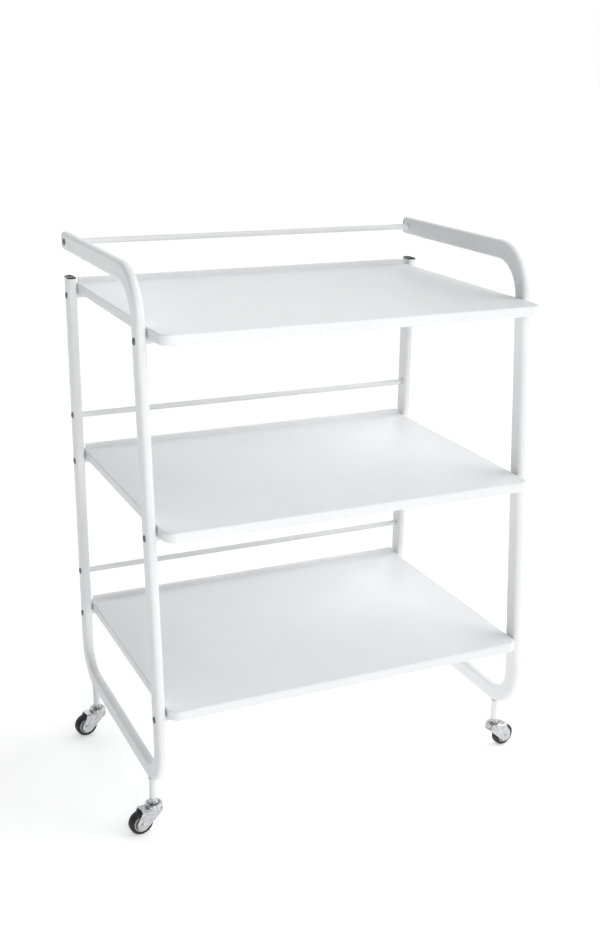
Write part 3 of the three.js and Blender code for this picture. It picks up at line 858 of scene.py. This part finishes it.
def fork_plan():
    """The fork's bend seen from above, from one cheek's rear round the nose to the other's."""
    half = []
    nose_turn = math.asin(CHEEK_MIDDLE / CROWN_FRONT)
    for step in range(NOSE_STEPS + 1):
        angle = nose_turn * step / NOSE_STEPS
        half.append(Vector((-CROWN_FRONT * math.cos(angle), CROWN_FRONT * math.sin(angle))))
    start = half[-1].x
    for step in range(1, CROWN_STEPS + 1):
        half.append(Vector((start + (CROWN_REAR - start) * step / CROWN_STEPS, CHEEK_MIDDLE)))
    return [Vector((p.x, -p.y)) for p in half[:0:-1]] + half


def cheek_edges(axle, crown):
    """The heights of a cheek's lower and upper edges, as functions of x."""
    nose = Vector((-CROWN_FRONT, crown - FORK_SKIRT))
    rear = Vector((CROWN_REAR, crown - FORK_BEND))
    front_touch = tangent_point(nose, axle, CHEEK_RADIUS, -1)
    rear_touch = tangent_point(rear, axle, CHEEK_RADIUS, 1)

    def low_at(x):
        if x < front_touch.x:
            slope = (front_touch.y - nose.y) / (front_touch.x - nose.x)
            return nose.y + (x - nose.x) * slope
        return axle.y - math.sqrt(max(CHEEK_RADIUS**2 - (x - axle.x) ** 2, 0))

    def high_at(x):
        if x > rear_touch.x:
            return axle.y + math.sqrt(max(CHEEK_RADIUS**2 - (x - axle.x) ** 2, 0))
        slope = (rear_touch.y - rear.y) / (rear_touch.x - rear.x)
        return rear.y + (x - rear.x) * slope

    return low_at, high_at


def fork_front(mesh, swivelled, crown, low_at):
    """The crown with its skirt: columns of vertices from the lower edge up and over the bend."""
    plan = fork_plan()
    grid = []
    for p, along in zip(plan, directions(plan)):
        inward = Vector((along.y, -along.x))
        foot = low_at(p.x)
        column = []
        for row in range(CHEEK_ROWS + 1):
            z = foot + (crown - FORK_BEND - foot) * row / CHEEK_ROWS
            column.append(Vector((p.x, p.y, z)))
        for step in range(1, FORK_BEND_STEPS + 1):
            angle = math.pi / 2 * step / FORK_BEND_STEPS
            shift = inward * FORK_BEND * (1 - math.cos(angle))
            z = crown - FORK_BEND * (1 - math.sin(angle))
            column.append(Vector((p.x + shift.x, p.y + shift.y, z)))
        grid.append([mesh.verts.new(swivelled @ point) for point in column])
    for left, right in zip(grid, grid[1:]):
        for k in range(len(left) - 1):
            mesh.faces.new((left[k], right[k], right[k + 1], left[k + 1]))
    mesh.faces.new([column[-1] for column in grid])
    return grid


def cheek_back(mesh, swivelled, column, side, axle, edges):
    """The rest of a cheek, from the crown's rear edge round the axle to its tip."""
    low_at, high_at = edges
    tip = axle.x + CHEEK_RADIUS
    previous = column[: CHEEK_ROWS + 1]
    for step in range(1, CHEEK_STEPS + 1):
        x = tip - (tip - CROWN_REAR) * math.cos(math.pi / 2 * step / CHEEK_STEPS)
        low, high = low_at(x), high_at(x)
        if step == CHEEK_STEPS:
            x, low, high = tip, axle.y, axle.y
        current = []
        for row in range(CHEEK_ROWS + 1):
            z = low + (high - low) * row / CHEEK_ROWS
            current.append(mesh.verts.new(swivelled @ Vector((x, side * CHEEK_MIDDLE, z))))
        for k in range(CHEEK_ROWS):
            mesh.faces.new((previous[k], current[k], current[k + 1], previous[k + 1]))
        previous = current


def fork(corner, swivelled, trail, axle_z):
    """One pressed sheet: a crown plate with a round nose, folded down into two cheeks."""
    crown = CROWN_UNDERSIDE + FORK_SHEET / 2
    axle = Vector((trail, axle_z))
    edges = cheek_edges(axle, crown)
    mesh = bmesh.new()
    grid = fork_front(mesh, swivelled, crown, edges[0])
    for column, side in ((grid[0], -1), (grid[-1], 1)):
        cheek_back(mesh, swivelled, column, side, axle, edges)
    sheet = {"thickness": FORK_SHEET, "offset": 0.0, "use_even_offset": True}
    bevel = {
        "width": FORK_EDGE,
        "segments": 2,
        "limit_method": "ANGLE",
        "angle_limit": FORK_SHARP,
    }
    modifiers = (("SOLIDIFY", sheet), ("BEVEL", bevel))
    body = f"{corner}_swivel"
    finished(f"{corner}_fork_sheet", mesh, "zinc", body, [f"{corner}_fork"], modifiers)


def axle_rivet(corner, wheel_place):
    """The axle with a domed head at each end, bearing on the cheeks."""
    seat = CHEEK_MIDDLE + FORK_SHEET / 2
    rim = seat + AXLE_HEAD_EDGE
    half = [(AXLE_SHANK, seat), (AXLE_HEAD, seat)]
    dome = AXLE_DOME - AXLE_HEAD_EDGE
    for step in range(AXLE_STEPS):
        angle = math.pi / 2 * step / AXLE_STEPS
        half.append((AXLE_HEAD * math.cos(angle), rim + dome * math.sin(angle)))
    half.append((0, seat + AXLE_DOME))
    mesh = bmesh.new()
    turned(mesh, mirrored(half) + half, 32, wheel_place)
    finished(f"{corner}_axle_rivet", mesh, "zinc", f"{corner}_swivel", [f"{corner}_axle"])


def wheel_hub(corner, wheel_place):
    """A moulded hub with a boss, a thin web and a rim under the tyre."""
    rim_out = TYRE_INNER - SEAT
    rim_in = rim_out - HUB_RIM
    half = [
        (HUB_BORE, HUB_HALF, 0.3 * MM),
        (HUB_BOSS, HUB_HALF, 0.6 * MM),
        (HUB_BOSS, HUB_WEB, 0.8 * MM),
        (rim_in, HUB_WEB, 1.0 * MM),
        (rim_in, HUB_RIM_HALF, 0.5 * MM),
        (rim_out, HUB_RIM_HALF, 0.5 * MM),
    ]
    mesh = bmesh.new()
    turned(mesh, rounded(mirrored(half) + half, closed=True), 56, wheel_place, loop=True)
    finished(f"{corner}_hub", mesh, "hub_grey", f"{corner}_wheel", [f"{corner}_wheel_hub"])


def tyre(corner, wheel_place, radius):
    """A solid tyre with rounded shoulders and a fine parting line round its tread."""
    side = TYRE_HALF_WIDTH
    bead_height, bead_lean = TYRE_BEAD
    down_side, off_tread = TYRE_SHOULDER_EASE
    half = [
        (TYRE_INNER, side - bead_lean, 0.3 * MM),
        (TYRE_INNER + bead_height, side, 0.4 * MM),
        (radius - TYRE_SHOULDER - down_side, side, 0.5 * MM),
        (radius - off_tread, side - TYRE_SHOULDER, 2 * MM),
        (radius, 2 * TYRE_PARTING, 0),
        (radius - TYRE_PARTING, 0.6 * TYRE_PARTING, 0),
    ]
    mesh = bmesh.new()
    turned(mesh, rounded(half + mirrored(half), closed=True), 72, wheel_place, loop=True)
    finished(f"{corner}_tyre_ring", mesh, "tyre_rubber", f"{corner}_wheel", [f"{corner}_tyre"])


def caster(corner):
    """Every piece of one caster."""
    still, swivelled, trail, axle_z = caster_frames(corner)
    wheel_place = swivelled @ Matrix.Translation((trail, 0, axle_z)) @ ALONG_Y
    socket_tube(corner, still)
    swivel_head(corner, still)
    race_cup(corner, swivelled)
    fork(corner, swivelled, trail, axle_z)
    axle_rivet(corner, wheel_place)
    wheel_hub(corner, wheel_place)
    tyre(corner, wheel_place, axle_z)


# ---- Studio ----

CAMERA_PLACE = Vector((-0.8287, -1.8378, 1.1908))
CAMERA_YAW = math.radians(25.11)  # from +Y towards +X
CAMERA_PITCH = math.radians(19.06)  # below the horizon
CAMERA_ROLL = math.radians(0.92)
CAMERA_LENS = 47.28  # in mm, on a sensor of the width below
CAMERA_SENSOR = 36
CAMERA_SHIFT = (-0.0156, 0.0152)
CAMERA_REACH = 200

# Soft distant lamps: azimuth round the cart (0 in front of it, 90 at its right), elevation,
# strength, and how wide each looks from the cart, with the angles in degrees
LAMPS = {
    "right_lamp": (80, 35, 2.2, 70),
    "rear_lamp": (180, 25, 1.1, 70),
}

# A near soft lamp, in metres and watts
KEY_PLACE = Vector((-0.35, -2.6, 1.7))
KEY_AIM = Vector((0, 0, 0.5))
KEY_SIZE = 1.2
KEY_POWER = 26.0

SKY = 0.2
WHITE = (1, 1, 1, 1)
FLOOR_GLOW = 0.33
FLOOR_RINGS = (4, 60)


def camera():
    """The photograph's viewing angle."""
    data = bpy.data.cameras.new("camera")
    data.lens = CAMERA_LENS
    data.sensor_width = CAMERA_SENSOR
    data.shift_x, data.shift_y = CAMERA_SHIFT
    data.clip_end = CAMERA_REACH
    viewer = placed("camera", data)
    yaw = Matrix.Rotation(-CAMERA_YAW, 4, "Z")
    tilt = Matrix.Rotation(math.pi / 2 - CAMERA_PITCH, 4, "X")
    roll = Matrix.Rotation(CAMERA_ROLL, 4, "Z")
    viewer.matrix_world = Matrix.Translation(CAMERA_PLACE) @ yaw @ tilt @ roll
    bpy.context.scene.camera = viewer


def aimed(name, data, towards):
    """A lamp whose light comes from a direction."""
    lamp = placed(name, data)
    lamp.rotation_mode = "QUATERNION"
    lamp.rotation_quaternion = towards.to_track_quat("Z", "Y")
    return lamp


def lamps():
    """The distant lamps."""
    for name, (azimuth, elevation, strength, width) in LAMPS.items():
        data = bpy.data.lights.new(name, "SUN")
        data.energy = strength
        data.angle = math.radians(width)
        a, e = math.radians(azimuth), math.radians(elevation)
        level = math.cos(e)
        aimed(name, data, Vector((math.sin(a) * level, -math.cos(a) * level, math.sin(e))))


def key_lamp():
    """A near soft box, so that faces turned to the middle of the cart catch more of it."""
    data = bpy.data.lights.new("key_lamp", "AREA")
    data.shape = "DISK"
    data.size = KEY_SIZE
    data.energy = KEY_POWER
    lamp = aimed("key_lamp", data, KEY_PLACE - KEY_AIM)
    lamp.location = KEY_PLACE


def sky():
    """A dim even sky for the cart, with white behind it in the picture."""
    world = bpy.data.worlds.new("studio")
    world.use_nodes = True
    nodes, links = world.node_tree.nodes, world.node_tree.links
    dim = nodes["Background"]
    dim.inputs["Strength"].default_value = SKY
    dim.inputs["Color"].default_value = WHITE
    white = nodes.new("ShaderNodeBackground")
    white.inputs["Color"].default_value = WHITE
    mix = nodes.new("ShaderNodeMixShader")
    path = nodes.new("ShaderNodeLightPath")
    links.new(path.outputs["Is Camera Ray"], mix.inputs["Fac"])
    links.new(dim.outputs["Background"], mix.inputs[1])
    links.new(white.outputs["Background"], mix.inputs[2])
    links.new(mix.outputs["Shader"], nodes["World Output"].inputs["Surface"])
    bpy.context.scene.world = world


def floor():
    """A wide pale disc that glows a little, so that it meets the white behind it."""
    g = Graph("pale_floor")
    colour = g.colours(g.noise(0.4), (0.3, (0.93, 0.93, 0.93)), (0.7, (0.95, 0.95, 0.95)))
    roughness = g.between(g.noise(0.05), 0.75, 0.85)
    material = g.finish(colour, roughness, Specular_IOR_Level=0.1)
    g.shader.inputs["Emission Color"].default_value = WHITE
    g.shader.inputs["Emission Strength"].default_value = FLOOR_GLOW
    mesh = bmesh.new()
    turned(mesh, [(0, 0)] + [(radius, 0) for radius in FLOOR_RINGS], 64)
    data = bpy.data.meshes.new("floor")
    mesh.to_mesh(data)
    mesh.free()
    data.materials.append(material)
    ground = placed("floor", data)


# ---- Everything ----

for side in SIDES:
    side_frame(side)
    leg_plug(side)
    arm_cap(side)
    for rod in RODS:
        screw(side, rod)
for tier in TIERS:
    shelf(tier)
    lip(tier)
    lugs(tier)
for rod in RODS:
    cross_rod(rod)
for corner in CORNERS:
    caster(corner)

camera()
lamps()
key_lamp()
sky()
floor()
bpy.context.scene.view_settings.view_transform = "Standard"
